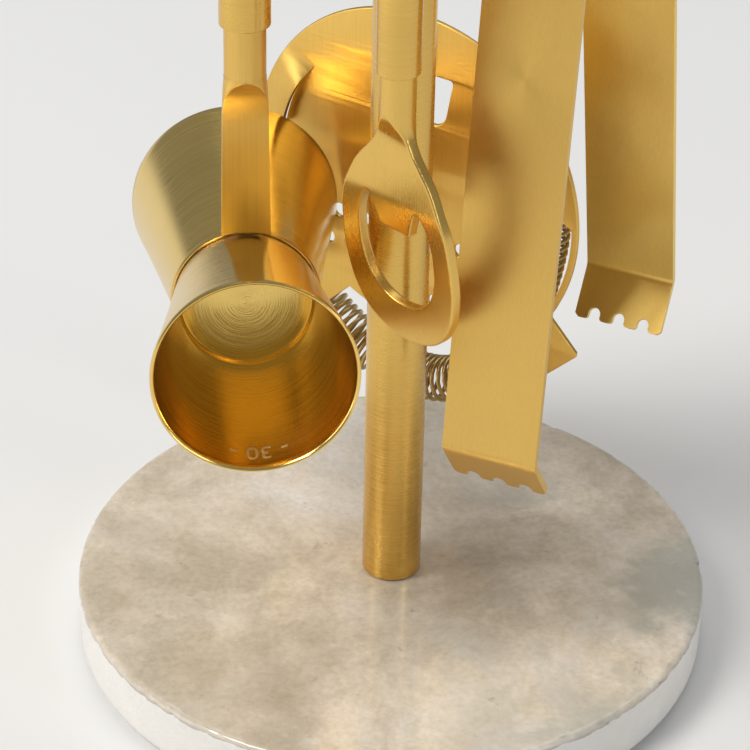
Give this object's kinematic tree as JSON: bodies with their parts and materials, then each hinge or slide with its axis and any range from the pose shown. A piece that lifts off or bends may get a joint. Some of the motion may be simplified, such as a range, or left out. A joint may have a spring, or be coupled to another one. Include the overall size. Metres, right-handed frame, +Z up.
{
  "type": "bar tool set",
  "caption": "Bar tool set: double jigger, bottle opener, ice tongs and coil strainer hung by rings and a bow from pegs on a post, which stands on a round stone base.",
  "frame": {"origin": "centre of the base's underside, on the surface the stand stands on", "axes": "+Z up along the post; -Y is the front, where the bottle opener hangs; +X is where the tongs hang"},
  "size_m": [0.14, 0.14, 0.2603],
  "materials": {
    "base_pad": "matt",
    "marble_base": "polished top, honed side",
    "base_washer": "plain",
    "base_bolt": "plain",
    "post_foot_insert": "plain",
    "post": "brushed satin gold",
    "top_hub": "brushed satin gold",
    "peg_jigger": "brushed satin gold",
    "peg_opener": "brushed satin gold",
    "peg_strainer": "brushed satin gold",
    "peg_tongs": "brushed satin gold",
    "finial": "brushed satin gold",
    "jigger_ring": "brushed satin gold",
    "jigger_grip": "brushed satin gold",
    "jigger_end_cap": "brushed satin gold",
    "jigger_handle": "brushed satin gold",
    "jigger_small_cup": "brushed satin gold",
    "jigger_large_cup": "brushed satin gold",
    "jigger_waist_ring": "brushed satin gold",
    "opener_ring": "brushed satin gold",
    "opener_grip": "brushed satin gold",
    "opener_end_cap": "brushed satin gold",
    "opener_head": "brushed satin gold",
    "strainer_ring": "brushed satin gold",
    "strainer_grip": "brushed satin gold",
    "strainer_end_cap": "brushed satin gold",
    "strainer_shank": "brushed satin gold",
    "strainer_plate": "brushed satin gold",
    "strainer_coil": "drawn wire, gold",
    "strainer_rivet_lower": "brushed satin gold",
    "strainer_rivet_upper": "brushed satin gold",
    "tongs_bow": "brushed satin gold",
    "tongs_arm_front": "brushed satin gold",
    "tongs_arm_rear": "brushed satin gold"
  },
  "bodies": {
    "stand": {"base_pad": "base_pad", "marble_base": "marble_base", "base_washer": "base_washer", "base_bolt": "base_bolt", "post_foot_insert": "post_foot_insert", "post": "post", "top_hub": "top_hub", "peg_jigger": "peg_jigger", "peg_opener": "peg_opener", "peg_strainer": "peg_strainer", "peg_tongs": "peg_tongs", "finial": "finial"},
    "jigger_ring": {"jigger_ring": "jigger_ring"},
    "jigger": {"jigger_grip": "jigger_grip", "jigger_end_cap": "jigger_end_cap", "jigger_handle": "jigger_handle", "jigger_small_cup": "jigger_small_cup", "jigger_large_cup": "jigger_large_cup", "jigger_waist_ring": "jigger_waist_ring"},
    "opener_ring": {"opener_ring": "opener_ring"},
    "opener": {"opener_grip": "opener_grip", "opener_end_cap": "opener_end_cap", "opener_head": "opener_head"},
    "strainer_ring": {"strainer_ring": "strainer_ring"},
    "strainer": {"strainer_grip": "strainer_grip", "strainer_end_cap": "strainer_end_cap", "strainer_shank": "strainer_shank", "strainer_plate": "strainer_plate", "strainer_coil": "strainer_coil", "strainer_rivet_lower": "strainer_rivet_lower", "strainer_rivet_upper": "strainer_rivet_upper"},
    "tongs": {"tongs_bow": "tongs_bow"},
    "tongs_front": {"tongs_arm_front": "tongs_arm_front"},
    "tongs_rear": {"tongs_arm_rear": "tongs_arm_rear"}
  },
  "joints": [
    {"name": "jigger_lift_off", "type": "slide", "parent": "stand", "child": "jigger_ring", "axis": [-0.9731, -0.1839, 0.1392], "range_m": [0, 0.11]},
    {"name": "jigger_swing", "type": "hinge", "parent": "jigger_ring", "child": "jigger", "pos_m": [-0.03154, -0.00596, 0.2228], "axis": [-0.1857, 0.9826, 0], "range_deg": [0, 35]},
    {"name": "opener_lift_off", "type": "slide", "parent": "stand", "child": "opener_ring", "axis": [-0.0363, -0.9896, 0.1392], "range_m": [0, 0.11]},
    {"name": "opener_swing", "type": "hinge", "parent": "opener_ring", "child": "opener", "pos_m": [-0.00128, -0.03498, 0.2228], "axis": [-0.9993, 0.0366, 0], "range_deg": [-4, 7]},
    {"name": "strainer_lift_off", "type": "slide", "parent": "stand", "child": "strainer_ring", "axis": [0.0949, 0.9857, 0.1392], "range_m": [0, 0.11]},
    {"name": "strainer_swing", "type": "hinge", "parent": "strainer_ring", "child": "strainer", "pos_m": [0.00326, 0.03384, 0.2228], "axis": [0.9954, -0.0958, 0], "range_deg": [0, 6]},
    {"name": "tongs_lift_off", "type": "slide", "parent": "stand", "child": "tongs", "axis": [0.9655, 0.027, 0.2588], "range_m": [0, 0.11]},
    {"name": "tongs_rear_squeeze", "type": "hinge", "parent": "tongs", "child": "tongs_rear", "pos_m": [0.04099, 0.01637, 0.22087], "axis": [-0.912, 0.4099, -0.014], "range_deg": [0, 5], "stiffness_Nm_per_rad": 6},
    {"name": "tongs_front_squeeze", "type": "hinge", "parent": "tongs", "child": "tongs_front", "pos_m": [0.02707, -0.01461, 0.22087], "axis": [0.912, -0.4099, 0.014], "range_deg": [0, 5], "stiffness_Nm_per_rad": 6}
  ],
  "couplings": [
    {"joint": "tongs_front_squeeze", "follows": "tongs_rear_squeeze", "ratio": 1}
  ]
}
